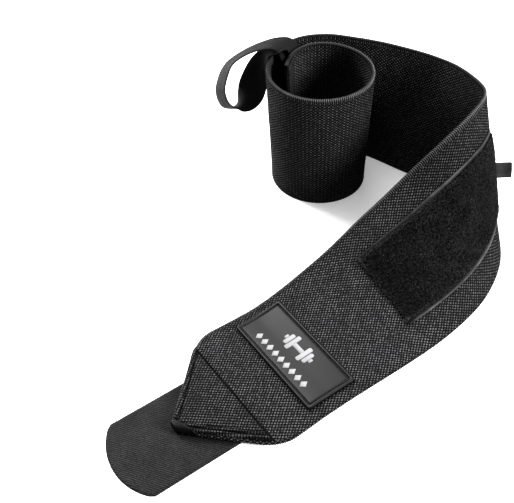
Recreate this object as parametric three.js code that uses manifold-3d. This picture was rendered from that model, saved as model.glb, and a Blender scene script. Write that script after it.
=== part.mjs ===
// Wrist wrap: an elastic band lying loose, its pointed end flat on the table, its other end rolled up
// and standing on its edge. Millimetres, +Z up, origin at the middle of the underside.

import * as THREE from "three";
import Module from "manifold-3d";
import { mergeVertices } from "three/addons/utils/BufferGeometryUtils.js";

const wasm = await Module();
wasm.setup();

// Driving sizes
const band_width = 80;
const band_thickness = 2.2;
const lay_length = 200;
const piece_gap = 0.3;
const edge_bevel = 0.8;
const edge_share = 0.45;

// Pointed end of the band, and the flap sewn on it
const point_length = 38;
const tip_width = 5;
const tip_shift = -1;
const shift_end = 61;
const tip_bare = 3;
const shoulder_round = 9;
const flap_length = 33;
const flap_thickness = 1.1;
const flap_inset = 0.5;
const border_width = 4;
const border_height = 2;
const border_slope = 0.8;
const inner_share = 0.4;
const foot_share = 0.2;

// Hook tongue under the pointed end
const tab_width = 46.5;
const tab_thickness = 1.2;
const tab_out = 34.8;
const tab_under = 26;
const tab_round = 33;
const tab_shift = -2.2;

// Rubber plate
const label_place = 73.5;
const label_along = 29;
const label_across = 67;
const label_thickness = 1.8;
const label_rim = 2;
const label_recess = 0.6;
const label_cells = { along: 4, across: 8 };

// Loop strip
const patch_from = 134;
const patch_to = 242;
const patch_width = 48;
const patch_thickness = 1.7;
const selvage_width = 2.2;
const selvage_thickness = 0.7;
const patch_drift = -2.5;

// Roll, with angles counted on from its first one
const roll_open_radius = 33.5;
const roll_open_lean = 96.5;
const roll_first = 78;
const roll_last = 528;
const roll_rows = 20;

// Hem over the band's inner end
const hem_width = 12;
const hem_short = 1.5;
const hem_thickness = 1.2;

// Thumb loop
const strap_width = 20;
const strap_thickness = 1;
const strap_angle = 488;
const loop_reach = 46;
const loop_steps = 60;

// Folded ribbon at the far end of the loop strip
const tag_width = 9.5;
const tag_length = 14;
const tag_thickness = 0.9;
const tag_across = -9;
const tag_droop = 1.2;
const tag_steps = 5;

// The band's course, from the tip of its pointed end to where the roll begins. east and north are shares
// of lay_length from the roll's centre, lean is 0 where the band lies flat and 90 where it stands. lift, the
// height of its near edge, and bulge, how far its middle is bowed out, are shares of band_width, and on_tab
// is 1 where it lies on the tongue.
const course = [
  { east: -0.455, north: -0.944, lean: -1, lift: 0.014, bulge: 0, on_tab: 1 },
  { east: -0.310, north: -0.855, lean: -1, lift: 0.014, bulge: 0, on_tab: 1 },
  { east: -0.130, north: -0.745, lean: -4, lift: 0.075, bulge: 0, on_tab: 0 },
  { east: 0.030, north: -0.647, lean: 4, lift: 0.07, bulge: 0, on_tab: 0 },
  { east: 0.165, north: -0.566, lean: 18, lift: 0.06, bulge: 0, on_tab: 0 },
  { east: 0.285, north: -0.477, lean: 32, lift: 0.04, bulge: 0.005, on_tab: 0 },
  { east: 0.378, north: -0.388, lean: 51, lift: 0.02, bulge: 0.02, on_tab: 0 },
  { east: 0.438, north: -0.285, lean: 70, lift: 0.025, bulge: 0.055, on_tab: 0 },
  { east: 0.460, north: -0.182, lean: 83, lift: 0.025, bulge: 0.035, on_tab: 0 },
  { east: 0.412, north: -0.090, lean: 95, lift: 0.01, bulge: 0.01, on_tab: 0 },
  { east: 0.322, north: -0.001, lean: 105, lift: 0, bulge: 0, on_tab: 0 },
  { east: 0.200, north: 0.088, lean: 101, lift: 0, bulge: 0, on_tab: 0 },
  { east: 0.095, north: 0.143, lean: 97, lift: 0, bulge: 0, on_tab: 0 },
];

// What changes round the roll, each change easing in over a turn past an angle: the middle surface's
// radius, in shares of roll_open_radius, and the lean
const roll_changes = [
  { from: 78, turn: 100, radius: -0.075, lean: 0 },
  { from: 78, turn: 90, radius: 0, lean: -5 },
  { from: 300, turn: 120, radius: -0.134, lean: 0 },
  { from: 440, turn: 90, radius: -0.194, lean: 0 },
];

// The thumb loop's course, from one sewn end over the rim, down, back up and in again. west and north are
// shares of loop_reach from where it is sewn, rise is in shares of loop_reach above the band's upper edge,
// and layer counts strap thicknesses outwards from the band. Its width turns by an angle from where it
// points at the sewn ends, and tilts up.
const loop_course = [
  { west: 0.00, north: 0.00, rise: -0.50, layer: 0.5, turn: 0, tilt: 0 },
  { west: 0.00, north: 0.00, rise: -0.27, layer: 0.5, turn: 0, tilt: 0 },
  { west: 0.00, north: 0.00, rise: -0.04, layer: 0.6, turn: 0, tilt: 0 },
  { west: 0.09, north: 0.06, rise: 0.06, layer: 0.5, turn: 9, tilt: -5 },
  { west: 0.30, north: 0.10, rise: 0.07, layer: 0, turn: 24, tilt: -14 },
  { west: 0.62, north: 0.06, rise: -0.01, layer: 0, turn: 44, tilt: -25 },
  { west: 0.86, north: 0.01, rise: -0.18, layer: 0, turn: 59, tilt: -34 },
  { west: 0.98, north: -0.12, rise: -0.44, layer: 0, turn: 59, tilt: -34 },
  { west: 0.92, north: -0.22, rise: -0.64, layer: 0, turn: 59, tilt: -34 },
  { west: 0.75, north: -0.21, rise: -0.69, layer: 0, turn: 66, tilt: -28 },
  { west: 0.60, north: -0.15, rise: -0.56, layer: 0, turn: 88, tilt: -8 },
  { west: 0.52, north: -0.08, rise: -0.39, layer: 0, turn: 88, tilt: 0 },
  { west: 0.46, north: 0.00, rise: -0.19, layer: 0, turn: 62, tilt: 0 },
  { west: 0.36, north: 0.04, rise: -0.02, layer: 0, turn: 30, tilt: 0 },
  { west: 0.22, north: 0.05, rise: 0.03, layer: 0, turn: 8, tilt: -3 },
  { west: 0.09, north: 0.04, rise: 0.02, layer: 1.8, turn: 0, tilt: 0 },
  { west: 0.00, north: 0.00, rise: -0.10, layer: 2.1, turn: 0, tilt: 0 },
  { west: 0.00, north: 0.00, rise: -0.30, layer: 1.9, turn: 0, tilt: 0 },
  { west: 0.00, north: 0.00, rise: -0.50, layer: 1.9, turn: 0, tilt: 0 },
];

const rad = THREE.MathUtils.degToRad;
const up = new THREE.Vector3(0, 0, 1);
const smooth = (x) => THREE.MathUtils.smoothstep(x, 0, 1);
const spline_tension = 0.5;
const band_divisions = 1500;
const loop_divisions = 600;
const weld_distance = 1e-4;
const half_band = band_width / 2;
const half_thick = band_thickness / 2;
const half_patch = patch_width / 2;
const half_pile = half_patch - selvage_width;

// Radius and lean of the roll's middle surface at an angle
function roll_at(angle) {
  let radius = roll_open_radius;
  let lean = roll_open_lean;
  for (const change of roll_changes) {
    const share = smooth((angle - change.from) / change.turn);
    radius += change.radius * roll_open_radius * share;
    lean += change.lean * share;
  }
  return { radius, lean };
}

// Rows of the course in millimetres: the table's, then those of the roll
function band_rows() {
  const rows = course.map(({ east, north, lean, lift, bulge, on_tab }) => ({
    x: east * lay_length,
    y: north * lay_length,
    lean,
    bulge: bulge * band_width,
    lift: lift * band_width + on_tab * (tab_thickness + piece_gap),
  }));
  for (let i = 0; i < roll_rows; i += 1) {
    const angle = roll_first + ((roll_last - roll_first) * i) / (roll_rows - 1);
    const { radius, lean } = roll_at(angle);
    rows.push({
      x: radius * Math.cos(rad(angle)),
      y: radius * Math.sin(rad(angle)),
      lean,
      lift: 0,
      bulge: 0,
    });
  }
  return rows;
}

// Middle line of the band, with its lean at each place. Neither edge goes below the table.
class BandCourse extends THREE.Curve {
  constructor(rows) {
    super();
    this.plan = spline(rows.map((row) => new THREE.Vector3(row.x, row.y, 0)));
    this.pose = spline(rows.map((row) => new THREE.Vector3(row.lean, row.lift, row.bulge)));
    this.arcLengthDivisions = band_divisions;
  }

  getPoint(t, target = new THREE.Vector3()) {
    const { x: lean, y: lift } = this.pose.getPoint(t);
    this.plan.getPoint(t, target);
    const rise = half_band * Math.sin(rad(lean));
    target.z = Math.max(lift + rise, Math.abs(rise)) + half_thick * Math.abs(Math.cos(rad(lean)));
    return target;
  }

  frame(distance) {
    return this.frame_at(this.getUtoTmapping(0, distance));
  }

  frame_at(t) {
    const pose = this.pose.getPoint(t);
    const lean = rad(pose.x);
    const along = this.getTangent(t);
    const left = new THREE.Vector3(-along.y, along.x, 0).normalize();
    const across = left.multiplyScalar(Math.cos(lean)).addScaledVector(up, Math.sin(lean));
    const outward = new THREE.Vector3().crossVectors(along, across).normalize();
    return { centre: this.getPoint(t), along, across, outward, bulge: pose.z };
  }
}

function spline(points) {
  return new THREE.CatmullRomCurve3(points, false, "catmullrom", spline_tension);
}

const band_course = new BandCourse(band_rows());
const band_length = band_course.getLength();

// A point on the band: distance along it, across it from its middle line, and out of its middle surface
function on_band({ centre, across, outward, bulge }, side, out) {
  const bow = bulge * (1 - (side / half_band) ** 2);
  return centre.clone().addScaledVector(across, side).addScaledVector(outward, out + bow);
}

// Closed body through rings of points. Each ring runs along its upper side and back along its lower one,
// and both sides are split along the same diagonals, so that faces laid on each other stay parallel.
function loft(rings) {
  const count = rings[0].length;
  const positions = rings.flat().flatMap((p) => [p.x, p.y, p.z]);
  const index = [];
  const quad = (a, b, c, d) => index.push(a, b, c, a, c, d);
  for (let r = 0; r + 1 < rings.length; r += 1) {
    for (let k = 0; k < count; k += 1) {
      const next = (k + 1) % count;
      const here = [r * count + k, (r + 1) * count + k];
      const beside = [(r + 1) * count + next, r * count + next];
      if (k < count / 2) quad(here[0], here[1], beside[0], beside[1]);
      else quad(here[1], beside[0], beside[1], here[0]);
    }
  }
  const last = (rings.length - 1) * count;
  for (let k = 0; k + 1 < count / 2; k += 1) {
    const back = count - 1 - k;
    quad(k, k + 1, back - 1, back);
    quad(last + back, last + back - 1, last + k + 1, last + k);
  }
  const geometry = new THREE.BufferGeometry();
  geometry.setAttribute("position", new THREE.Float32BufferAttribute(positions, 3));
  geometry.setIndex(index);
  geometry.computeVertexNormals();
  return geometry;
}

// Stations shared by all that lies on the band, so that their faces stay parallel
const bend_from = 104;
const station_marks = [tip_bare, flap_length, point_length, bend_from, patch_from, patch_to];
const flat_step = 4;
const bend_step = 5;
const least_step = 0.5;

function stations(from, to) {
  const marks = station_marks.filter((mark) => mark > from + least_step && mark < to - least_step);
  const knots = [from, ...marks, to];
  const list = [];
  for (let i = 0; i + 1 < knots.length; i += 1) {
    const span = knots[i + 1] - knots[i];
    const step = knots[i] < bend_from ? flat_step : bend_step;
    const parts = Math.max(1, Math.round(span / step));
    for (let j = 0; j < parts; j += 1) list.push(knots[i] + (span * j) / parts);
  }
  list.push(to);
  return list;
}

// Half the band's width and the place of its middle, narrowing to the tip past rounded shoulders
function outline(distance) {
  const half_tip = tip_width / 2;
  const slanted = half_tip + ((half_band - half_tip) * distance) / point_length;
  const short = THREE.MathUtils.clamp(half_band - slanted, -shoulder_round, shoulder_round);
  const rounded = half_band - (short + shoulder_round) ** 2 / (4 * shoulder_round);
  const shift = tip_shift * (1 - smooth(distance / shift_end));
  return { half: Math.min(slanted, rounded), shift };
}

// Body laid on the band. lines gives, for a distance, each line's place across and its two heights.
function lay_on_band(from, to, lines) {
  return loft(stations(from, to).map((distance) => {
    const frame = band_course.frame(distance);
    const rows = lines(distance);
    const high = rows.map(({ side, top }) => on_band(frame, side, top));
    const low = rows.map(({ side, bottom }) => on_band(frame, side, bottom));
    return [...high, ...low.reverse()];
  }));
}

// The loop strip's middle drifts across the band along its length
function patch_middle(distance) {
  const share = (distance - patch_from) / (patch_to - patch_from);
  return patch_drift * THREE.MathUtils.clamp(share, 0, 1);
}

function elastic_band() {
  const lines = [-half_patch, -half_pile, 0, half_pile, half_patch];
  return lay_on_band(0, band_length, (distance) => {
    const { half, shift } = outline(distance);
    const edge = half_thick * edge_share;
    const middle = patch_middle(distance);
    const row = (side, height) => ({ side: shift + side, top: height, bottom: -height });
    return [
      row(-half, edge),
      row(edge_bevel - half, half_thick),
      ...lines.map((side) => row(((side + middle) / half_band) * half, half_thick)),
      row(half - edge_bevel, half_thick),
      row(half, edge),
    ];
  });
}

function end_flap() {
  const base = half_thick + piece_gap;
  return lay_on_band(tip_bare, flap_length, (distance) => {
    const { half: full, shift } = outline(distance);
    const half = full - flap_inset;
    const open = smooth((half - border_width) / border_width);
    const plate = border_height - (border_height - flap_thickness) * open;
    const inner = Math.max(half - border_width, inner_share * half);
    const foot = Math.max(inner - border_slope, foot_share * half);
    const row = (side, height) => ({ side: shift + side, top: base + height, bottom: base });
    return [
      row(-half, border_height * edge_share),
      row(edge_bevel - half, border_height),
      row(-inner, border_height),
      row(-foot, plate),
      row(0, plate),
      row(foot, plate),
      row(inner, border_height),
      row(half - edge_bevel, border_height),
      row(half, border_height * edge_share),
    ];
  });
}

// Flat tongue with a round end, lying on the table under the band's point
function hook_tab() {
  const half = tab_width / 2;
  const sagitta = tab_round - Math.sqrt(tab_round ** 2 - half ** 2);
  const spread = Math.asin(half / tab_round);
  const shape = new THREE.Shape();
  shape.moveTo(tab_under, -half);
  shape.lineTo(tab_under, half);
  shape.lineTo(sagitta - tab_out, half);
  shape.absarc(tab_round - tab_out, 0, tab_round, Math.PI - spread, Math.PI + spread, false);
  shape.closePath();
  const settings = { depth: tab_thickness, bevelEnabled: false, curveSegments: 16 };
  return new THREE.ExtrudeGeometry(shape, settings);
}

function place_tab(mesh) {
  const { centre, along } = band_course.frame(0);
  const heading = Math.atan2(along.y, along.x);
  const side = new THREE.Vector3(-Math.sin(heading), Math.cos(heading), 0);
  mesh.position.copy(centre).addScaledVector(side, tab_shift).setZ(0);
  mesh.rotation.z = heading;
}

// Manifold solid from a three.js geometry, and back
function to_solid(geometry) {
  const bare = geometry.clone();
  bare.deleteAttribute("normal");
  bare.deleteAttribute("uv");
  const merged = mergeVertices(bare, weld_distance);
  return new wasm.Manifold(new wasm.Mesh({
    numProp: 3,
    vertProperties: new Float32Array(merged.attributes.position.array),
    triVerts: new Uint32Array(merged.index.array),
  }));
}

function to_geometry(solid) {
  const { vertProperties, triVerts } = solid.getMesh();
  const geometry = new THREE.BufferGeometry();
  geometry.setAttribute("position", new THREE.Float32BufferAttribute(vertProperties, 3));
  geometry.setIndex(new THREE.Uint32BufferAttribute(triVerts, 1));
  return geometry;
}

// Moves a flat body's points from its own plane onto the band: x along, y across, z out
function bend_to_band(geometry, place, base) {
  const position = geometry.attributes.position;
  for (let i = 0; i < position.count; i += 1) {
    const frame = band_course.frame(place + position.getX(i));
    const point = on_band(frame, position.getY(i), base + position.getZ(i));
    position.setXYZ(i, point.x, point.y, point.z);
  }
  geometry.computeVertexNormals();
  return geometry;
}

// Plate with a raised rim round a sunk panel
function label_plate() {
  const { along, across } = label_cells;
  const plate = new THREE.BoxGeometry(label_along, label_across, label_thickness, along, across);
  plate.translate(0, 0, label_thickness / 2);
  const inner_along = label_along - 2 * label_rim;
  const inner_across = label_across - 2 * label_rim;
  const pocket = new THREE.BoxGeometry(inner_along, inner_across, 2 * label_recess, along, across);
  pocket.translate(0, 0, label_thickness);
  const solid = to_solid(plate).subtract(to_solid(pocket));
  return bend_to_band(to_geometry(solid), label_place, half_thick + piece_gap);
}

// Strip with a low edge on both sides of its pile
function loop_patch() {
  const base = half_thick + piece_gap;
  return lay_on_band(patch_from, patch_to, (distance) => {
    const middle = patch_middle(distance);
    const row = (side, height) => ({ side: middle + side, top: base + height, bottom: base });
    return [
      row(-half_patch, selvage_thickness),
      row(-half_pile, patch_thickness),
      row(0, patch_thickness),
      row(half_pile, patch_thickness),
      row(half_patch, selvage_thickness),
    ];
  });
}

// Strip over the band's inner end, on the side that faces the roll's middle
function inner_hem() {
  const half = half_band - hem_short;
  const top = -half_thick - piece_gap;
  const row = (side) => ({ side, top, bottom: top - hem_thickness });
  return lay_on_band(band_length - hem_width, band_length, () => [row(-half), row(0), row(half)]);
}

// Where the thumb loop is sewn: the outer face of the roll's inner layer
function loop_seat() {
  const row = course.length + ((strap_angle - roll_first) / (roll_last - roll_first)) * (roll_rows - 1);
  const frame = band_course.frame_at(row / (course.length + roll_rows - 1));
  const outward = frame.outward.clone().setZ(0).normalize();
  const heading = Math.atan2(-frame.along.y, -frame.along.x);
  const place = on_band(frame, half_band, half_thick + piece_gap);
  return { place, outward, heading };
}

function thumb_loop() {
  const { place, outward, heading } = loop_seat();
  const layer_step = strap_thickness + piece_gap;
  const points = loop_course.map(({ west, north, rise, layer }) => {
    const point = place.clone().addScaledVector(outward, layer * layer_step);
    point.x -= west * loop_reach;
    point.y += north * loop_reach;
    point.z = band_width + rise * loop_reach;
    return point;
  });
  const line = spline(points);
  line.arcLengthDivisions = loop_divisions;
  const pose = spline(loop_course.map(({ turn, tilt }) => new THREE.Vector3(rad(turn), rad(tilt), 0)));
  const rings = [];
  for (let i = 0; i <= loop_steps; i += 1) {
    const t = line.getUtoTmapping(i / loop_steps);
    const along = line.getTangent(t);
    const { x: turn, y: tilt } = pose.getPoint(t);
    const across = new THREE.Vector3(Math.cos(heading + turn), Math.sin(heading + turn), Math.tan(tilt));
    across.addScaledVector(along, -across.dot(along)).normalize();
    const face = new THREE.Vector3().crossVectors(along, across).normalize();
    const centre = line.getPoint(t);
    const at = (side, out) => centre.clone()
      .addScaledVector(across, (side * strap_width) / 2)
      .addScaledVector(face, (out * strap_thickness) / 2);
    rings.push([at(-1, 1), at(0, 1), at(1, 1), at(1, -1), at(0, -1), at(-1, -1)]);
  }
  return loft(rings);
}

// Ribbon folded double, standing out of the band beside the loop strip's far end
function size_tag() {
  const frame = band_course.frame(patch_to + piece_gap + tag_thickness / 2);
  const base = half_thick + piece_gap;
  const rings = [];
  for (let i = 0; i <= tag_steps; i += 1) {
    const share = i / tag_steps;
    const at = (side, thick) => on_band(frame, tag_across + (side * tag_width) / 2, base + share * tag_length)
      .addScaledVector(frame.along, (-thick * tag_thickness) / 2)
      .addScaledVector(up, -tag_droop * share * share);
    rings.push([at(-1, 1), at(0, 1), at(1, 1), at(1, -1), at(0, -1), at(-1, -1)]);
  }
  return loft(rings);
}

function cloth(color, roughness) {
  return new THREE.MeshStandardMaterial({ color, roughness, metalness: 0 });
}

const wrap = new THREE.Group();

function add(name, geometry, material) {
  const mesh = new THREE.Mesh(geometry, material);
  mesh.name = name;
  wrap.add(mesh);
  return mesh;
}

add("elastic_band", elastic_band(), cloth(0x2b2b2c, 0.9));
add("end_flap", end_flap(), cloth(0x303031, 0.9));
place_tab(add("hook_tab", hook_tab(), cloth(0x2a2a2b, 0.75)));
add("label_plate", label_plate(), cloth(0x3c3d3e, 0.5));
add("loop_patch", loop_patch(), cloth(0x1c1c1d, 1));
add("inner_hem", inner_hem(), cloth(0x252526, 0.95));
add("thumb_loop", thumb_loop(), cloth(0x1e1e1f, 0.7));
add("size_tag", size_tag(), cloth(0x1a1a1b, 0.6));

// Origin at the middle of the underside
wrap.updateMatrixWorld(true);
const bounds = new THREE.Box3().setFromObject(wrap, true);
const middle = bounds.getCenter(new THREE.Vector3());
wrap.position.set(-middle.x, -middle.y, -bounds.min.z);

export default wrap;
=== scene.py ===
# Looks of the wrist wrap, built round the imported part. Lengths are in millimetres and angles in degrees, and
# a mesh turns into metres when it is made. The course of the band and of the thumb loop is the part's own,
# apart from three leans of the upright run and the loop's returning strand, which follow the photograph.

import math

import bpy
import numpy as np
from mathutils import Matrix


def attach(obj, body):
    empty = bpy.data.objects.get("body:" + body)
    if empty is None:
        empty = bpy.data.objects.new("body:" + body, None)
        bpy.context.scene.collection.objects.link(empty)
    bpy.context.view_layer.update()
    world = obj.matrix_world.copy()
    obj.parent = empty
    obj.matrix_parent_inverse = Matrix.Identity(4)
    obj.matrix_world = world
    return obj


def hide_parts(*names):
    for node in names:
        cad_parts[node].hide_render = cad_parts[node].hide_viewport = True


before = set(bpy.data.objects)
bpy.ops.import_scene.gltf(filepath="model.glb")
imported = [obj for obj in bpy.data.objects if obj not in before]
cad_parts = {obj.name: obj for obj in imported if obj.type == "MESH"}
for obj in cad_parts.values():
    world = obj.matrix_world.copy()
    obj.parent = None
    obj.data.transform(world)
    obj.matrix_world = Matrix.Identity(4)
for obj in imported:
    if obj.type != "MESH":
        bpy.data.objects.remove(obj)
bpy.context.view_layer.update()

MM = 0.001
UP = np.array([0.0, 0.0, 1.0])
ROLL_CENTRE = np.array([6.022, 92.576, 0.0])

# Sizes shared with the part
BAND_WIDTH = 80.0
BAND_THICKNESS = 2.2
LAY_LENGTH = 200.0
POINT_LENGTH = 38.0
TIP_WIDTH = 5.0
TIP_SHIFT = -1.0
SHIFT_END = 61.0
SHOULDER_ROUND = 9.0
FLAP_FROM = 3.0
FLAP_TO = 33.0
FLAP_INSET = 0.5
TAB_WIDTH = 46.5
TAB_THICKNESS = 1.2
TAB_OUT = 34.8
TAB_UNDER = 26.0
TAB_ROUND = 33.0
TAB_SHIFT = -2.2
PIECE_GAP = 0.3
LABEL_PLACE = 73.5
LABEL_ALONG = 29.0
LABEL_ACROSS = 67.0
PATCH_FROM = 134.0
PATCH_TO = 242.0
PATCH_WIDTH = 48.0
PATCH_DRIFT = -2.5
SELVAGE_WIDTH = 2.2
HEM_WIDTH = 12.0
HEM_SHORT = 1.5
STRAP_WIDTH = 20.0
STRAP_THICKNESS = 1.0
STRAP_ANGLE = 488.0
LOOP_REACH = 46.0
TAG_THICKNESS = 0.9
ROLL_RADIUS = 33.5
ROLL_LEAN = 96.5
ROLL_FIRST = 78.0
ROLL_LAST = 528.0
ROLL_ROWS = 20

# east and north as shares of LAY_LENGTH, lean, lift and bulge as shares of BAND_WIDTH, on the tongue or not
COURSE = (
    (-0.455, -0.944, -1, 0.014, 0, 1),
    (-0.310, -0.855, -1, 0.014, 0, 1),
    (-0.130, -0.745, -4, 0.075, 0, 0),
    (0.030, -0.647, 4, 0.07, 0, 0),
    (0.165, -0.566, 18, 0.06, 0, 0),
    (0.285, -0.477, 32, 0.04, 0.005, 0),
    (0.378, -0.388, 51, 0.02, 0.02, 0),
    (0.438, -0.285, 70, 0.025, 0.055, 0),
    (0.460, -0.182, 83, 0.025, 0.035, 0),
    (0.412, -0.090, 93, 0.01, 0.01, 0),
    (0.322, -0.001, 103, 0, 0, 0),
    (0.200, 0.088, 100, 0, 0, 0),
    (0.095, 0.143, 97, 0, 0, 0),
)

# from, turn, share of ROLL_RADIUS, lean
ROLL_CHANGES = (
    (78, 100, -0.075, 0),
    (78, 90, 0, -5),
    (300, 120, -0.134, 0),
    (440, 90, -0.194, 0),
)

# west, north and rise as shares of LOOP_REACH, layer, turn, tilt
LOOP_COURSE = (
    (0.00, 0.00, -0.50, 0.5, 0, 0),
    (0.00, 0.00, -0.27, 0.5, 0, 0),
    (0.00, 0.00, -0.04, 0.6, 0, 0),
    (0.09, 0.06, 0.06, 0.5, 9, -5),
    (0.30, 0.10, 0.07, 0, 24, -14),
    (0.62, 0.06, -0.01, 0, 44, -25),
    (0.86, 0.01, -0.18, 0, 59, -34),
    (0.98, -0.12, -0.44, 0, 59, -34),
    (0.92, -0.22, -0.64, 0, 59, -34),
    (0.75, -0.21, -0.69, 0, 66, -28),
    (0.60, -0.15, -0.56, 0, 88, -8),
    (0.52, -0.08, -0.39, 0, 88, 0),
    (0.43, 0.00, -0.19, 0, 66, 0),
    (0.32, 0.03, -0.035, 0, 38, -11),
    (0.20, 0.03, 0.01, 0, 17, -15),
    (0.09, 0.03, 0.00, 1.8, 4, -8),
    (0.00, 0.00, -0.10, 2.1, 0, 0),
    (0.00, 0.00, -0.30, 1.9, 0, 0),
    (0.00, 0.00, -0.50, 1.9, 0, 0),
)

HALF_BAND = BAND_WIDTH / 2
HALF_THICK = BAND_THICKNESS / 2

# Ribbon tag as the photograph shows it, a little broader and shorter than its solid, the radius of its fold
# and half its ribbon's thickness
TAG_WIDTH = 11.4
TAG_LENGTH = 11.2
TAG_ACROSS = -10.6
TAG_DROOP = 0.9
TAG_FOLD = 0.27
TAG_HALF = 0.13

# How much of the strap's returning end is tucked under the rest and darkened with painted shade
STRAP_HIDDEN = 44.0

STITCH_LENGTH = 1.7
FIBRE_COUNT = 2600

# Weave of the band: one cell along it and across it, how far its yarns stand out, and its ribs' reach from
# the edge
CELL_ALONG = 1.16
CELL_ACROSS = 0.94
WEAVE_RELIEF = 0.13
RIB_REACH = 3.2


def smooth(x):
    k = np.clip(x, 0, 1)
    return k * k * (3 - 2 * k)


def spline(rows, t):
    points = np.array(rows, float)
    count = len(points)
    place = np.clip(t, 0, 1) * (count - 1)
    i = np.minimum(place.astype(int), count - 2)
    w = (place - i)[:, None]
    ends = np.vstack([2 * points[0] - points[1], points, 2 * points[-1] - points[-2]])
    p0, p1, p2, p3 = ends[i], ends[i + 1], ends[i + 2], ends[i + 3]
    v0, v1 = (p2 - p0) / 2, (p3 - p1) / 2
    return (2 * p1 - 2 * p2 + v0 + v1) * w**3 + (3 * p2 - 3 * p1 - 2 * v0 - v1) * w**2 + v0 * w + p1


def unit(vectors):
    return vectors / np.linalg.norm(vectors, axis=-1, keepdims=True)


def lengths_along(points):
    return np.r_[0, np.cumsum(np.linalg.norm(np.diff(points, axis=0), axis=1))]


def interpolate(x, xs, table):
    return np.stack([np.interp(x, xs, table[:, k]) for k in range(table.shape[1])], -1)


class Band:
    """The band's middle line with its frame, by distance from the tip or by share of the course."""

    def __init__(self):
        rows = []
        for east, north, lean, lift, bulge, on_tab in COURSE:
            height = lift * BAND_WIDTH + on_tab * (TAB_THICKNESS + PIECE_GAP)
            rows.append((east * LAY_LENGTH, north * LAY_LENGTH, lean, height, bulge * BAND_WIDTH))
        for angle in np.linspace(ROLL_FIRST, ROLL_LAST, ROLL_ROWS):
            radius, lean = ROLL_RADIUS, ROLL_LEAN
            for begin, turn, share, change in ROLL_CHANGES:
                radius += share * ROLL_RADIUS * float(smooth((angle - begin) / turn))
                lean += change * float(smooth((angle - begin) / turn))
            a = math.radians(angle)
            rows.append((radius * math.cos(a), radius * math.sin(a), lean, 0, 0))
        self.share = np.linspace(0, 1, 8001)
        x, y, lean, lift, self.bulge = spline(rows, self.share).T
        lean = np.radians(lean)
        rise = HALF_BAND * np.sin(lean)
        z = np.maximum(lift + rise, np.abs(rise)) + HALF_THICK * np.abs(np.cos(lean))
        self.centre = np.stack([x, y, z], 1)
        self.distance = lengths_along(self.centre)
        self.length = self.distance[-1]
        self.along = unit(np.gradient(self.centre, axis=0))
        left = unit(np.stack([-self.along[:, 1], self.along[:, 0], np.zeros_like(x)], 1))
        self.across = left * np.cos(lean)[:, None] + UP * np.sin(lean)[:, None]
        self.outward = unit(np.cross(self.along, self.across))

    def frame(self, value, by="distance"):
        xs = getattr(self, by)
        tables = (self.centre, self.along, self.across, self.outward)
        return [interpolate(value, xs, table) for table in tables] + [np.interp(value, xs, self.bulge)]

    def place(self, distance, side, out):
        distance, side, out = np.broadcast_arrays(distance, side, out)
        centre, _, across, outward, bulge = self.frame(distance)
        bow = bulge * (1 - (side / HALF_BAND) ** 2)
        return centre + across * side[..., None] + outward * (out + bow)[..., None]


band = Band()


def outline(distance):
    """Half width of the band at that distance from its tip, and how far its middle is moved aside."""
    half_tip = TIP_WIDTH / 2
    slanted = half_tip + (HALF_BAND - half_tip) * distance / POINT_LENGTH
    short = np.clip(HALF_BAND - slanted, -SHOULDER_ROUND, SHOULDER_ROUND)
    rounded = HALF_BAND - (short + SHOULDER_ROUND) ** 2 / (4 * SHOULDER_ROUND)
    return np.minimum(slanted, rounded), TIP_SHIFT * (1 - smooth(distance / SHIFT_END))


def weave_height(along, across):
    return np.cos(np.pi * along / CELL_ALONG) * np.cos(np.pi * across / CELL_ACROSS)


def lattice_noise(x, y, cell, seed):
    """Smooth noise between -1 and 1 on a lattice of that cell."""
    values = np.random.default_rng(seed).uniform(-1, 1, (256, 256))
    gx, gy = np.asarray(x) / cell, np.asarray(y) / cell
    ix, iy = np.floor(gx).astype(int), np.floor(gy).astype(int)
    fx, fy = smooth(gx - ix), smooth(gy - iy)

    def at(i, j):
        return values[i % 256, j % 256]

    low = at(ix, iy) * (1 - fx) + at(ix + 1, iy) * fx
    high = at(ix, iy + 1) * (1 - fx) + at(ix + 1, iy + 1) * fx
    return low * (1 - fy) + high * fy


# Mesh making

def make(name, points, faces, cloth, material, node=None, slot=None):
    """Mesh object from points round the roll's centre. cloth holds each point's place on the cloth, and as its
    third value the painted shade that scales its colour.
    """
    mesh = bpy.data.meshes.new(name)
    places = (np.asarray(points, float).reshape(-1, 3) + ROLL_CENTRE) * MM
    mesh.from_pydata(places.tolist(), [], [list(face) for face in faces])
    attribute = mesh.attributes.new("cloth", "FLOAT_VECTOR", "POINT")
    attribute.data.foreach_set("vector", np.asarray(cloth, np.float32).reshape(-1))
    mesh.shade_smooth()
    mesh.materials.append(material)
    mesh.validate()
    piece = bpy.data.objects.new(name, mesh)
    bpy.context.scene.collection.objects.link(piece)
    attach(piece, "root")
    if node:
        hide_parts(node)
    return piece


def grid_faces(rows, columns, first=0, flip=False):
    r, c = np.meshgrid(np.arange(rows - 1), np.arange(columns - 1), indexing="ij")
    a = (first + r * columns + c).ravel()
    quads = np.stack([a, a + columns, a + columns + 1, a + 1], 1)
    return (quads[:, ::-1] if flip else quads).tolist()


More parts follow.
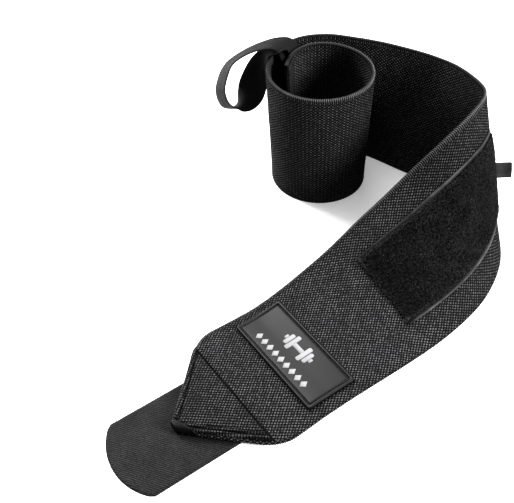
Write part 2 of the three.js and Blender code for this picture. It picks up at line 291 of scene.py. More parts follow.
def shell(name, top, bottom, along, across, material, shade=1.0, under_shade=1.0, **more):
    """Closed body between two grids of points, joined round its rim. A shade under 1 is painted shade,
    darkening the colour there.
    """
    rows, columns = top.shape[:2]
    count = rows * columns
    faces = grid_faces(rows, columns) + grid_faces(rows, columns, count, True)
    rim = list(range(columns))
    rim += [r * columns + columns - 1 for r in range(1, rows)]
    rim += [(rows - 1) * columns + c for c in range(columns - 2, -1, -1)]
    rim += [r * columns for r in range(rows - 2, 0, -1)]
    for here, there in zip(rim, rim[1:] + rim[:1]):
        faces.append((here, there, there + count, here + count))
    flat = np.stack(np.broadcast_arrays(along, across, shade * np.ones((rows, columns))), -1)
    under = np.stack(np.broadcast_arrays(along, across, -under_shade * np.ones((rows, columns))), -1)
    points = np.concatenate([top.reshape(-1, 3), bottom.reshape(-1, 3)])
    cloth = np.concatenate([flat.reshape(-1, 3), under.reshape(-1, 3)])
    return make(name, points, faces, cloth, material, **more)


def tubes(name, rings, cloth, material, **more):
    """Closed tubes. rings is tubes x rings x points round x 3, and each tube's ends are capped."""
    tube_count, ring_count, round_count = rings.shape[:3]
    faces = []
    for k in range(tube_count):
        first = k * ring_count * round_count
        for r in range(ring_count - 1):
            here = first + r * round_count
            for c in range(round_count):
                d = (c + 1) % round_count
                faces.append((here + c, here + d, here + round_count + d, here + round_count + c))
        faces.append(list(range(first + round_count - 1, first - 1, -1)))
        last = first + (ring_count - 1) * round_count
        faces.append(list(range(last, last + round_count)))
    return make(name, rings.reshape(-1, 3), faces, cloth, material, **more)


# Materials

class Shader:
    """Principled material, with short calls for its nodes."""

    def __init__(self, name, roughness, specular=0.3, sheen=0.0, sheen_roughness=0.5):
        self.material = bpy.data.materials.new(name)
        self.material.use_nodes = True
        self.tree = self.material.node_tree
        self.surface = self.tree.nodes["Principled BSDF"]
        self.surface.inputs["Roughness"].default_value = roughness
        self.surface.inputs["Specular IOR Level"].default_value = specular
        self.surface.inputs["Sheen Weight"].default_value = sheen
        self.surface.inputs["Sheen Roughness"].default_value = sheen_roughness
        place = self.node("ShaderNodeAttribute", attribute_name="cloth")
        split = self.node("ShaderNodeSeparateXYZ")
        self.feed(split.inputs[0], place.outputs["Vector"])
        self.along, self.across, self.side = split.outputs
        self.cloth = place.outputs["Vector"]

    def node(self, kind, **settings):
        node = self.tree.nodes.new(kind)
        for key, value in settings.items():
            setattr(node, key, value)
        return node

    def feed(self, socket, value):
        if isinstance(value, bpy.types.NodeSocket):
            self.tree.links.new(value, socket)
        else:
            socket.default_value = value

    def math(self, operation, *values):
        node = self.node("ShaderNodeMath", operation=operation)
        for socket, value in zip(node.inputs, values):
            self.feed(socket, value)
        return node.outputs[0]

    def add(self, a, b):
        return self.math("ADD", a, b)

    def times(self, a, b):
        return self.math("MULTIPLY", a, b)

    def wave(self, value, period, start=0.0):
        return self.math("COSINE", self.math("MULTIPLY_ADD", value, 2 * math.pi / period, start))

    def span(self, value, low, high, to_low=0.0, to_high=1.0):
        node = self.node("ShaderNodeMapRange", interpolation_type="SMOOTHSTEP")
        for socket, number in zip(node.inputs, (value, low, high, to_low, to_high)):
            self.feed(socket, number)
        return node.outputs[0]

    def noise(self, scale, detail=2.0, stretch=(1, 1, 1), roughness=0.5):
        mapping = self.node("ShaderNodeMapping")
        self.feed(mapping.inputs["Vector"], self.cloth)
        mapping.inputs["Scale"].default_value = stretch
        node = self.node("ShaderNodeTexNoise")
        self.feed(node.inputs["Vector"], mapping.outputs[0])
        node.inputs["Scale"].default_value = scale
        node.inputs["Detail"].default_value = detail
        node.inputs["Roughness"].default_value = roughness
        return node.outputs["Fac"]

    def cell_noise(self, cell_along, cell_across):
        join = self.node("ShaderNodeCombineXYZ")
        places = ((self.along, cell_along), (self.across, cell_across))
        for socket, (value, cell) in zip(join.inputs, places):
            self.feed(socket, self.math("FLOOR", self.math("MULTIPLY_ADD", value, 1 / cell, 0.5)))
        node = self.node("ShaderNodeTexWhiteNoise", noise_dimensions="3D")
        self.feed(node.inputs["Vector"], join.outputs[0])
        return node.outputs["Value"]

    def grey(self, share, dark, light, tint=(1.0, 1.0, 1.02)):
        node = self.node("ShaderNodeMix", data_type="RGBA")
        self.feed(node.inputs[0], share)
        node.inputs[6].default_value = [dark * t for t in tint] + [1]
        node.inputs[7].default_value = [light * t for t in tint] + [1]
        return node.outputs[2]

    def done(self, colour, height=None, depth=0.2, roughness=None):
        # painted shade: the colour is scaled by the cloth attribute's third value, darkening grooves, seams
        # and tucked parts
        painted_shade = self.node("ShaderNodeVectorMath", operation="SCALE")
        self.feed(painted_shade.inputs[0], colour)
        self.feed(painted_shade.inputs["Scale"], self.math("ABSOLUTE", self.side))
        self.feed(self.surface.inputs["Base Color"], painted_shade.outputs[0])
        if roughness is not None:
            self.feed(self.surface.inputs["Roughness"], roughness)
        if height is not None:
            bump = self.node("ShaderNodeBump")
            bump.inputs["Strength"].default_value = 1.0
            bump.inputs["Distance"].default_value = depth * MM
            self.feed(bump.inputs["Height"], height)
            self.feed(self.surface.inputs["Normal"], bump.outputs[0])
        return self.material


def woven(name, dark, light, edge=True):
    """Basket weave: light flecks where a yarn comes up, and fine ribs across near the band's edges."""
    s = Shader(name, 0.7, 0.14)
    stray_along = s.math("MULTIPLY_ADD", s.noise(0.55, 2), 0.9, -0.45)
    stray_across = s.math("MULTIPLY_ADD", s.noise(0.6, 2, (1, 1, 3)), 0.7, -0.35)
    tilt = s.times(s.math("SINE", s.times(s.across, math.pi / CELL_ACROSS)), 0.14)
    along = s.add(s.add(s.along, tilt), stray_along)
    across = s.add(s.across, stray_across)
    fleck = s.times(s.wave(along, 2 * CELL_ALONG), s.wave(across, 2 * CELL_ACROSS))
    rib = s.wave(s.along, CELL_ALONG)
    height = fleck
    if edge:
        beside_edge = s.span(s.across, HALF_BAND - RIB_REACH, HALF_BAND - RIB_REACH + 1)
        near = s.times(beside_edge, s.span(s.along, 120, 200, 0.3, 0.9))
        height = s.add(s.times(fleck, s.math("SUBTRACT", 1.0, near)), s.times(rib, near))
    own = s.span(s.cell_noise(CELL_ALONG, CELL_ACROSS), 0, 1, 0.45, 1.2)
    # painted shade: the band beside the loop strip is darkened by up to a quarter
    beside_patch = s.math("SUBTRACT", s.span(s.along, 130, 190), s.span(s.along, 250, 300))
    dimmed = s.math("MULTIPLY_ADD", beside_patch, -0.25, 1.0)
    large = s.times(s.span(s.noise(0.05, 3), 0.3, 0.7, 0.8, 1.12), dimmed)
    fibres = s.noise(3.0, 2, (1, 3, 1))
    towards_roll = s.span(s.along, 300, 390)
    columns = s.span(s.times(s.wave(s.along, 2 * CELL_ALONG), towards_roll), -1, 1, 0.45, 1.55)
    share = s.times(s.times(s.span(height, -0.1, 0.8), own), s.times(large, columns))
    colour = s.grey(share, dark, light)
    relief = s.add(height, s.times(fibres, 0.35))
    return s.done(colour, relief, 0.25, s.span(height, -0.2, 0.9, 0.95, 0.5))


def edging_material():
    """Chain of slanting yarns along the rim, with painted shade darkening its inner half."""
    s = Shader("edging", 0.65, 0.2)
    rib = s.wave(s.add(s.along, s.times(s.across, 0.25)), CELL_ALONG)
    fibres = s.noise(4.0, 2, (1, 2, 1))
    large = s.span(s.noise(0.08, 2), 0.3, 0.7, 0.8, 1.15)
    # painted shade on the inner half of the rim
    outer = s.span(s.across, -0.6, 0.7, 0.25, 1.0)
    share = s.times(s.times(s.span(s.add(rib, s.times(fibres, 0.5)), -0.3, 1.0), large), outer)
    return s.done(s.grey(share, 0.004, 0.11), s.add(rib, s.times(fibres, 0.5)), 0.2)


def twill(name, dark, light, pitch, slant, roughness=0.6, depth=0.06):
    """Fine smooth cloth with slanting lines."""
    s = Shader(name, roughness, 0.14)
    astray = s.math("MULTIPLY_ADD", s.noise(0.5, 3), 1.1, -0.55)
    lines = s.wave(s.add(s.add(s.along, astray), s.times(s.across, slant)), pitch)
    fine = s.noise(1.7, 4, roughness=0.65)
    large = s.span(s.noise(0.07, 3), 0.3, 0.7, 0.8, 1.15)
    share = s.times(s.span(s.add(s.times(lines, 0.5), s.times(fine, 3.2)), 0.7, 2.5), large)
    return s.done(s.grey(share, dark, light), s.add(lines, fine), depth)


def selvage_material(name, near_fade):
    """Smooth woven border, light along its outer ridge. Across runs from the pile outwards."""
    s = Shader(name, 0.5, 0.2)
    lines = s.wave(s.along, 0.8)
    fine = s.noise(2.5, 3)
    large = s.span(s.noise(0.09, 2), 0.35, 0.65, 0.4, 1.15)
    ridge = s.times(s.span(s.across, 0.9, 1.5, 0.15, 1.0), large)
    start = s.span(s.along, PATCH_FROM + 2, PATCH_FROM + near_fade, 0.12, 1.0)
    share = s.times(s.times(s.span(s.add(lines, s.times(fine, 1.4)), -1.2, 1.6), ridge), start)
    return s.done(s.grey(share, 0.004, 0.095), s.add(lines, fine), 0.06)


def pile_material():
    s = Shader("pile", 0.95, 0.03, 0.04, 0.4)
    tufts = s.noise(0.85, 5, roughness=0.7)
    fine = s.noise(2.6, 3, roughness=0.75)
    patches = s.noise(0.11, 3)
    mottled = s.add(s.times(tufts, 0.7), s.add(s.times(fine, 0.62), s.times(patches, 0.14)))
    # the pile is darker towards its near end
    dimmed = s.span(s.along, PATCH_FROM, PATCH_FROM + 55, 0.5, 1.0)
    return s.done(s.grey(s.times(s.span(mottled, 0.62, 0.95), dimmed), 0.0012, 0.04), s.add(tufts, fine), 0.8)


def rubber(name, tone, rough, grain, specular):
    s = Shader(name, rough, specular)
    speckle = s.noise(5.0, 3)
    cloudy = s.span(s.noise(0.05, 2), 0.3, 0.7, 0.92, 1.08)
    colour = s.grey(s.times(s.span(speckle, 0.2, 0.8), cloudy), tone * 0.9, tone * 1.12)
    return s.done(colour, speckle, grain, s.span(speckle, 0.2, 0.8, rough - 0.05, rough + 0.06))


def plain_thread(name, dark, light):
    s = Shader(name, 0.6, 0.3)
    twist = s.wave(s.add(s.along, s.across), 0.5)
    return s.done(s.grey(s.span(twist, -1, 1), dark, light), twist, 0.05)


weave = woven("weave", 0.0075, 0.104)
flap_weave = woven("flap_weave", 0.0075, 0.088, edge=False)
edging = edging_material()
pile = pile_material()
selvages_by_side = {1: selvage_material("selvage_far", 60), -1: selvage_material("selvage_near", 8)}
tongue = twill("tongue", 0.004, 0.036, 1.25, 0.75, 0.62, 0.08)
webbing = twill("webbing", 0.004, 0.015, 0.9, 1.0, 0.6, 0.06)
tape = twill("tape", 0.007, 0.04, 1.1, 0.4, 0.85, 0.15)
satin = twill("satin", 0.002, 0.006, 0.5, 0.2, 0.38, 0.02)
ribbon = twill("ribbon", 0.03, 0.11, 0.5, 0.0, 0.4, 0.02)
label_rubber = rubber("label_rubber", 0.008, 0.44, 0.03, 0.22)
motif_rubber = rubber("motif_rubber", 0.25, 0.6, 0.02, 0.1)
dark_thread = plain_thread("dark_thread", 0.004, 0.02)
fibre = twill("fibre", 0.02, 0.11, 0.9, 0.0, 0.55)


# The band

def squeeze(side, half, margin=12.0):
    """Keeps the weave's own spacing in the middle and closes up the outer rows where the band narrows."""
    inner = HALF_BAND - margin
    outer = np.sign(side) * (inner + (np.abs(side) - inner) * (half - inner) / margin)
    kept = np.where(np.abs(side) < inner, side, outer)
    return np.where(half > inner + 1, kept, side * half / HALF_BAND)


def band_cloth():
    stations = np.linspace(0, band.length, int(round(band.length / CELL_ALONG)) + 1)
    inner = np.arange(-40, 41) * CELL_ACROSS
    border = HALF_BAND - np.array([1.5, 0.7, 0.2, 0.0])
    border_heights = np.array([1.0, 0.95, 0.75, 0.45])
    sides = np.r_[-border[::-1], inner, border]
    heights = np.r_[border_heights[::-1], np.ones(len(inner)), border_heights] * HALF_THICK
    half, shift = outline(stations)
    side = squeeze(sides[None, :], half[:, None])
    relief = np.zeros_like(side)
    row, column = np.meshgrid(np.arange(len(stations)), np.arange(len(inner)), indexing="ij")
    relief[:, len(border):-len(border)] = WEAVE_RELIEF * np.where((row + column) % 2 == 0, 1.0, -1.0)
    slack = 0.1 * lattice_noise(stations[:, None], side, 9.0, 3)
    placed = side + shift[:, None]
    s = np.broadcast_to(stations[:, None], side.shape)
    top = band.place(s, placed, heights + relief + slack)
    bottom = band.place(s, placed, -heights - relief + slack)
    # painted shadow: the band darkens in a narrow line just past the flap's seam
    past = np.abs(s - seam_distance(side) - 0.3)
    shade = 1 - 0.92 * np.exp(-((past / 0.75) ** 2))
    return shell(
        "elastic_cloth", top, bottom, s, side, weave, shade, node="elastic_band", slot="elastic_band"
    )


def band_edging():
    """Ribbed edge of the band, a closed half-round strip along each long side."""
    profile = np.array([
        (-1.3, 1.0), (-0.8, 1.2), (-0.3, 1.16), (0.08, 0.9), (0.26, 0.48), (0.32, 0.0), (0.26, -0.48),
        (0.08, -0.9), (-0.3, -1.16), (-0.8, -1.2), (-1.3, -1.0), (-1.2, -0.4), (-1.2, 0.4),
    ])
    shown = np.r_[0.3, np.ones(9), 0.3, 0, 0]
    step = CELL_ALONG / 4
    stations = np.arange(0.4, band.length - 0.2, step)
    pieces = []
    around = np.r_[1.0, profile[1:-2, 1], -1.0, -1.0]
    walked = HALF_BAND - 1.3 + lengths_along(profile)
    for sign in (1, -1):
        half, shift = outline(stations)
        edge = band.place(stations, shift + sign * half, 0)
        tangent = unit(np.gradient(edge, axis=0))
        _, _, across, outward, _ = band.frame(stations)
        away = unit(np.cross(tangent, outward)) * -sign
        away = np.where(((away * across).sum(1) * sign < 0)[:, None], -away, away)
        rib = 0.17 * np.cos(2 * np.pi * stations / CELL_ALONG)
        swell = 1 + rib[:, None] * shown[None, :]
        x = profile[None, :, 0] + rib[:, None] * shown[None, :] * 0.6
        y = profile[None, :, 1] * swell
        rings = edge[:, None, :] + away[:, None, :] * x[..., None] + outward[:, None, :] * y[..., None]
        if sign > 0:
            rings = rings[:, ::-1]
        round_edge = around[::-1] if sign > 0 else -walked
        walk = np.stack(np.broadcast_arrays(stations[:, None], round_edge[None, :], 1.0), -1)
        name, material = ("edging_upper", edging) if sign > 0 else ("edging_lower", weave)
        pieces.append(tubes(name, rings[None], walk, material, slot="elastic_band"))
    return pieces


# Flap on the pointed end

# Each hem's section from its edge inwards: distance, height, and painted shade darkening its grooves. The
# second is the near one, rolled twice.
HEM_PROFILE = (
    (0, 0.3, 0.8), (0.25, 0.95, 1), (0.7, 1.6, 1), (1.4, 1.95, 1), (2.2, 1.95, 1), (3.0, 1.75, 1),
    (3.5, 1.25, 0.5), (3.9, 0.65, 0.12), (4.3, 0.75, 0.4), (4.9, 1.0, 1), (6.2, 1.1, 1),
)
ROLL_PROFILE = (
    (0, 0.35, 0.8), (0.35, 1.4, 1), (1.0, 2.1, 1), (2.0, 2.2, 0.9), (2.6, 1.5, 0.3), (2.85, 0.5, 0.05),
    (3.1, 0.5, 0.05), (3.4, 1.7, 0.5), (4.1, 2.2, 1), (5.0, 2.0, 0.9), (5.6, 1.0, 0.15), (5.9, 0.5, 0.05),
    (6.2, 0.8, 0.4), (6.9, 1.1, 1),
)
HEM_REACH = 6.2

# Seam at the flap's straight end: where it crosses the middle, its slant, where the cloth drops to it, and how
# far a low lip, painted dark as the seam's shadow, runs on past it
SEAM_MIDDLE = 34.25
SEAM_SLANT = 0.0336
SEAM_DROP = 0.35
SEAM_LIP = 0.9
SEAM_SHARE = 31.0


def seam_distance(side):
    """Where the flap's straight end crosses the band, running a little askew."""
    return SEAM_MIDDLE - SEAM_SLANT * side


def end_flap():
    """The doubled cloth of the point: hemmed along both slants, the near one rolled twice."""
    past = np.array([-SEAM_DROP, 0, SEAM_LIP / 2, SEAM_LIP])
    rows = np.r_[np.linspace(0, 1, 76)[:-1], 1 + past / SEAM_SHARE]
    inner = np.linspace(-1, 1, 141)
    upper = np.array(HEM_PROFILE)
    lower = np.array(ROLL_PROFILE)
    distances, sides, heights, shades = [], [], [], []
    for row in rows:
        s = FLAP_FROM + (SEAM_MIDDLE - FLAP_FROM) * row
        full, shift = outline(np.array(s))
        h = full - FLAP_INSET
        fit = min(1.0, 0.9 * h / HEM_REACH)
        low = -h + lower[:, 0] * fit
        high = h - upper[::-1, 0] * fit
        middle = np.linspace(low[-1], high[0], len(inner) + 2)[1:-1]
        side = np.r_[low, middle, high]
        raised = 0.4 + 0.6 * fit
        sides.append(side + shift)
        distances.append(FLAP_FROM + (seam_distance(side) - FLAP_FROM) * row)
        heights.append(np.r_[lower[:, 1] * raised, np.full(len(inner), 1.1), upper[::-1, 1] * raised])
        shades.append(np.r_[lower[:, 2], np.ones(len(inner)), upper[::-1, 2]])
    s, side, height, shade = np.array(distances), np.array(sides), np.array(heights), np.array(shades)
    full, shift = outline(s)
    depth = full - FLAP_INSET - np.abs(side - shift)
    relief = 0.12 * weave_height(s, side) * smooth(depth / 1.0)
    puff = 0.25 * smooth((depth - 6) / 12) + 0.1 * lattice_noise(s, side, 7.0, 11)
    left = seam_distance(side - shift) - s
    end = np.sqrt(smooth((left + 0.05) / 0.7))
    # painted shadow: the flap darkens to near black at its seam and along the lip past it
    shade = shade * (0.04 + 0.96 * smooth((left - 0.15) / 0.6))
    base = HALF_THICK + 0.12
    top = band.place(s, side, base + 0.05 + (height + relief + puff) * end)
    bottom = band.place(s, side, np.full_like(s, base - 0.1))
    return shell("flap_cloth", top, bottom, s, side, flap_weave, shade, node="end_flap", slot="end_flap")


def tip_fold():
    """Smooth folded bit at the very tip, running a little way up the near slant."""
    stations = np.linspace(-0.6, 7.8, 30)
    t = np.linspace(0, 1, 13)
    top, bottom = [], []
    for s in stations:
        half, shift = outline(np.array(max(s, 0.0)))
        low = -half - 0.5 + shift
        width = (2 * half + 1.0) * (1 - 0.78 * float(smooth((s - 1.2) / 5.3)))
        side = low + width * t
        end = math.sqrt(max(0.0, 1 - max(0.0, (0.6 - s) / 1.25) ** 2)) * float(smooth((7.9 - s) / 1.8))
        round_off = np.sqrt(np.clip(1 - np.abs(2 * t - 1) ** 4, 0, 1))
        rise = HALF_THICK + 0.2 + (1.9 + 0.35 * np.sin(np.pi * t)) * round_off * end
        distance = np.full_like(side, s)
        top.append(band.place(distance, side, rise))
        bottom.append(band.place(distance, side, np.full_like(side, -HALF_THICK * 0.7)))
    top, bottom = np.array(top), np.array(bottom)
    along = np.broadcast_to(stations[:, None], top.shape[:2])
    across = np.broadcast_to(t[None, :] * 12, top.shape[:2])
    return shell("tip_fold", top, bottom, along, across, satin, slot="end_flap")


# Hook tongue

def hook_tongue():
    """Flat tongue with a round end, its rim a little thinner than its middle."""
    centre, along, _, _, _ = band.frame(np.array([0.0]))
    heading = math.atan2(along[0, 1], along[0, 0])
    ahead = np.array([math.cos(heading), math.sin(heading), 0])
    left = np.array([-math.sin(heading), math.cos(heading), 0])
    foot = centre[0] * (1, 1, 0) + left * TAB_SHIFT
    half = TAB_WIDTH / 2
    across = half * np.sin(np.linspace(-math.pi / 2, math.pi / 2, 61))
    t = np.linspace(0, 1, 90)
    corner = smooth((half - np.abs(across)) / 2.0)
    begin = TAB_ROUND - TAB_OUT - np.sqrt(TAB_ROUND**2 - across**2) + (1 - corner) * 0.8
    x = begin[None, :] + (TAB_UNDER - begin[None, :]) * t[:, None]
    y = np.broadcast_to(across[None, :], x.shape)
    rim = np.minimum(half - np.abs(y), x - begin[None, :])
    thick = 0.5 + 0.62 * smooth(rim / 1.3)
    wavy = 0.04 * lattice_noise(x, y, 6.0, 5)
    level = foot + x[..., None] * ahead + y[..., None] * left
    top = level + (thick + wavy)[..., None] * UP
    bottom = level + 0.04 * UP
    return shell("tongue_cloth", top, bottom, x, y, tongue, node="hook_tab", slot="hook_tab")


# Rubber plate

def rounded_rectangle(half_x, half_y, radius, per_corner=6, per_side=(18, 36)):
    """Outline with round corners and points along its sides, counterclockwise."""
    points = []
    radius = max(radius, 0.02)
    corners = ((1, 1), (-1, 1), (-1, -1), (1, -1))

    def on_corner(k, degrees):
        x, y = corners[k % 4]
        angle = math.radians(degrees)
        return (
            x * (half_x - radius) + radius * math.cos(angle),
            y * (half_y - radius) + radius * math.sin(angle),
        )

    for k in range(4):
        points += [on_corner(k, 90 * k + a) for a in np.linspace(0, 90, per_corner)]
        count = per_side[k % 2]
        start = np.array(points[-1])
        stop = np.array(on_corner(k + 1, 90 * (k + 1)))
        points += [tuple(start + (stop - start) * i / count) for i in range(1, count)]
    return np.array(points)


# The plate's section from its edge inwards: inset, height
LABEL_TOP = 1.46
LABEL_PROFILE = (
    (0.0, 0.0), (-0.05, 0.5), (0.0, 1.25), (0.12, 1.6), (0.35, 1.78), (0.75, 1.82), (1.2, 1.8), (1.5, 1.68),
    (1.62, 1.4), (1.7, 1.0), (1.95, 0.92), (2.2, 0.98), (2.32, 1.28), (2.5, 1.42), (3.0, LABEL_TOP),
    (5.0, LABEL_TOP), (8.0, LABEL_TOP), (11.0, LABEL_TOP), (13.6, LABEL_TOP),
)
LABEL_BASE = HALF_THICK + 0.1
LABEL_CORNER = 1.3


def label():
    """Plate with a raised rim and a groove inside it."""
    half_x, half_y = LABEL_ALONG / 2, LABEL_ACROSS / 2
    rings = []
    for inset, _ in LABEL_PROFILE:
        rings.append(rounded_rectangle(half_x - inset, half_y - inset, LABEL_CORNER - inset * 0.35))
    count = len(rings[0])
    points, cloth, faces = [], [], []
    for (_, height), ring in zip(LABEL_PROFILE, rings):
        points.append(band.place(LABEL_PLACE + ring[:, 0], ring[:, 1], np.full(count, LABEL_BASE + height)))
        cloth.append(np.c_[ring, np.full(count, 1.0)])
    for r in range(len(rings) - 1):
        for c in range(count):
            d = (c + 1) % count
            faces.append((r * count + c, r * count + d, (r + 1) * count + d, (r + 1) * count + c))
    last = (len(rings) - 1) * count
    faces.append(list(range(last, last + count)))
    faces.append(list(range(count - 1, -1, -1)))
    return make(
        "label_rubber", np.concatenate(points), faces, np.concatenate(cloth), label_rubber,
        node="label_plate", slot="label_plate",
    )


def raised(name, shapes, low, high, material):
    """Low raised shapes on the plate, each an outline of points from the plate's middle."""
    points, faces, cloth = [], [], []
    for shape in shapes:
        shape = np.array(shape, float)
        middle = shape.mean(0)
        first = sum(len(p) for p in points)
        count = len(shape)
        for grow, height in ((1.0, low), (1.0, high - 0.06), (0.985, high)):
            ring = middle + (shape - middle) * grow
            points.append(band.place(LABEL_PLACE + ring[:, 0], ring[:, 1], np.full(count, height)))
            cloth.append(np.c_[ring, np.ones(count)])
        for r in range(2):
            for c in range(count):
                d = (c + 1) % count
                here = first + r * count
                faces.append((here + c, here + d, here + count + d, here + count + c))
        faces.append([first + 2 * count + c for c in range(count)])
        faces.append([first + c for c in range(count - 1, -1, -1)])
    return make(name, np.concatenate(points), faces, np.concatenate(cloth), material, slot="label_plate")


def bar(x, y, half_x, half_y, radius):
    return rounded_rectangle(half_x, half_y, radius, 5, (3, 3)) + (x, y)


def motif():
    """Plain dumbbell over a row of lozenges."""
    shapes = [bar(3.6, 0, 1.3, 3.6, 0.3)]
    for sign in (1, -1):
        shapes.append(bar(3.6, sign * 5.0, 5.2, 1.4, 0.9))
        shapes.append(bar(3.6, sign * 8.2, 3.7, 1.3, 0.9))
        shapes.append(bar(3.6, sign * 10.5, 1.3, 0.8, 0.5))
    for y in np.linspace(-20, 20, 9):
        shapes.append([(-5.4, y), (-7.9, y + 2.0), (-10.4, y), (-7.9, y - 2.0)])
    base = LABEL_BASE + LABEL_TOP
    return raised("label_motif", shapes, base - 0.2, base + 0.22, motif_rubber)


# Loop strip

def patch_middle(distance):
    return PATCH_DRIFT * np.clip((distance - PATCH_FROM) / (PATCH_TO - PATCH_FROM), 0, 1)


def loop_pile():
    """Brushed pile, thinning at its rim."""
    half = PATCH_WIDTH / 2 - SELVAGE_WIDTH + 0.4
    stations = np.arange(PATCH_FROM - 0.2, PATCH_TO + 0.01, 0.55)
    sides = np.linspace(-half, half, 86)
    s, side = np.meshgrid(stations, sides, indexing="ij")
    rim = np.minimum(half - np.abs(side), np.minimum(s - stations[0], stations[-1] - s))
    ragged = rim + 0.35 * lattice_noise(s, side, 0.9, 21)
    tuft = 0.22 * lattice_noise(s, side, 1.3, 22) + 0.16 * lattice_noise(s, side, 0.62, 23)
    tuft += 0.12 * lattice_noise(s, side, 6, 24)
    height = 0.35 + 1.25 * np.sqrt(smooth(ragged / 1.5)) + tuft * smooth(rim / 0.6)
    base = HALF_THICK + 0.15
    middle = patch_middle(s)
    top = band.place(s, side + middle, base + height)
    bottom = band.place(s, side + middle, np.full_like(s, base - 0.15))
    return shell("pile_cloth", top, bottom, s, side, pile, node="loop_patch", slot="loop_patch")


def loop_selvages():
    """Smooth woven border on both long sides of the pile."""
    pieces = []
    stations = np.arange(PATCH_FROM, PATCH_TO, 0.8)
    for sign, name in ((1, "selvage_upper"), (-1, "selvage_lower")):
        inner = PATCH_WIDTH / 2 - SELVAGE_WIDTH
        t = np.linspace(0, 1, 11)
        offsets = inner - 0.3 + (SELVAGE_WIDTH + 0.3) * t
        height = 0.28 + 0.55 * np.sqrt(np.clip(1 - (2 * t - 1) ** 4, 0, 1))
        s, side = np.meshgrid(stations, offsets if sign > 0 else -offsets[::-1], indexing="ij")
        rise = (height if sign > 0 else height[::-1]) + 0.03 * np.cos(2 * np.pi * s / 1.6)
        inward = np.abs(side) - inner
        base = HALF_THICK + 0.1
        middle = patch_middle(s)
        top = band.place(s, side + middle, base + rise)
        bottom = band.place(s, side + middle, np.full_like(s, base - 0.1))
        pieces.append(shell(name, top, bottom, s, inward, selvages_by_side[sign], slot="loop_patch"))
    return pieces


# Hem over the inner end, thumb loop and tag

def hem_tape():
    half = HALF_BAND - HEM_SHORT
    stations = np.linspace(band.length - HEM_WIDTH, band.length, 26)
    sides = np.linspace(-half, half, 130)
    s, side = np.meshgrid(stations, sides, indexing="ij")
    rim = np.minimum(half - np.abs(side), np.minimum(s - stations[0], stations[-1] - s))
    height = 0.45 + 0.85 * np.sqrt(smooth(rim / 1.4)) + 0.12 * lattice_noise(s, side, 1.1, 31)
    height -= 0.35 * np.exp(-(((s - stations[0] - 3.0) / 0.5) ** 2)) * smooth((half - np.abs(side)) / 2)
    base = -HALF_THICK - 0.1
    top = band.place(s, side, np.full_like(s, base + 0.1))
    bottom = band.place(s, side, base - height)
    return shell("hem_cloth", top, bottom, s, side, tape, node="inner_hem", slot="inner_hem")


def loop_seat():
    """Point on the band's upper edge where the strap leaves it, with the way out and the strap's heading."""
    row = len(COURSE) + (STRAP_ANGLE - ROLL_FIRST) / (ROLL_LAST - ROLL_FIRST) * (ROLL_ROWS - 1)
    share = np.array([row / (len(COURSE) + ROLL_ROWS - 1)])
    centre, along, across, outward, _ = band.frame(share, "share")
    flat = unit(outward[0] * (1, 1, 0))
    heading = math.atan2(-along[0, 1], -along[0, 0])
    place = centre[0] + across[0] * HALF_BAND + outward[0] * (HALF_THICK + PIECE_GAP)
    return place, flat, heading


def thumb_strap():
    """Webbing from the seat over the roll's rim and back, with painted shade where it is tucked under itself.
    """
    place, outward, heading = loop_seat()
    rows = []
    for west, north, rise, layer, turn, tilt in LOOP_COURSE:
        point = place + outward * layer * (STRAP_THICKNESS + PIECE_GAP)
        x, y = point[0] - west * LOOP_REACH, point[1] + north * LOOP_REACH
        rows.append((x, y, BAND_WIDTH + rise * LOOP_REACH, turn, tilt))
    t = np.linspace(0, 1, 3001)
    line = spline(rows, t)
    walked = lengths_along(line[:, :3])
    stations = np.linspace(0, walked[-1], 300)
    points = interpolate(stations, walked, line[:, :3])
    along = unit(np.gradient(points, axis=0))
    turn = np.radians(np.interp(stations, walked, line[:, 3])) + heading
    tilt = np.radians(np.interp(stations, walked, line[:, 4]))
    across = np.stack([np.cos(turn), np.sin(turn), np.tan(tilt)], 1)
    across = unit(across - along * (across * along).sum(1, keepdims=True))
    face = np.cross(along, across)
    t = np.linspace(-1, 1, 29)
    body = 0.45 + 0.55 * np.sqrt(np.clip(1 - np.abs(t) ** 8, 0, 1))
    thick = STRAP_THICKNESS / 2 * body + 0.05 * np.cos(2 * np.pi * t * 6.5)
    cup = 0.25 * (t**2 - 0.3)
    middle = points[:, None] + across[:, None] * (t * STRAP_WIDTH / 2)[None, :, None]
    top = middle + face[:, None] * (cup - thick)[None, :, None]
    bottom = middle + face[:, None] * (cup + thick)[None, :, None]
    s, side = np.meshgrid(stations, t * STRAP_WIDTH / 2, indexing="ij")
    # painted shade over the returning end tucked under the rest
    tucked_shade = 1 - 0.88 * smooth((s - walked[-1] + STRAP_HIDDEN) / 10)
    piece = shell(
        "strap_webbing", top, bottom, s, side, webbing, tucked_shade, tucked_shade, node="thumb_loop", slot="thumb_loop"
    )
    return piece, walked[-1]


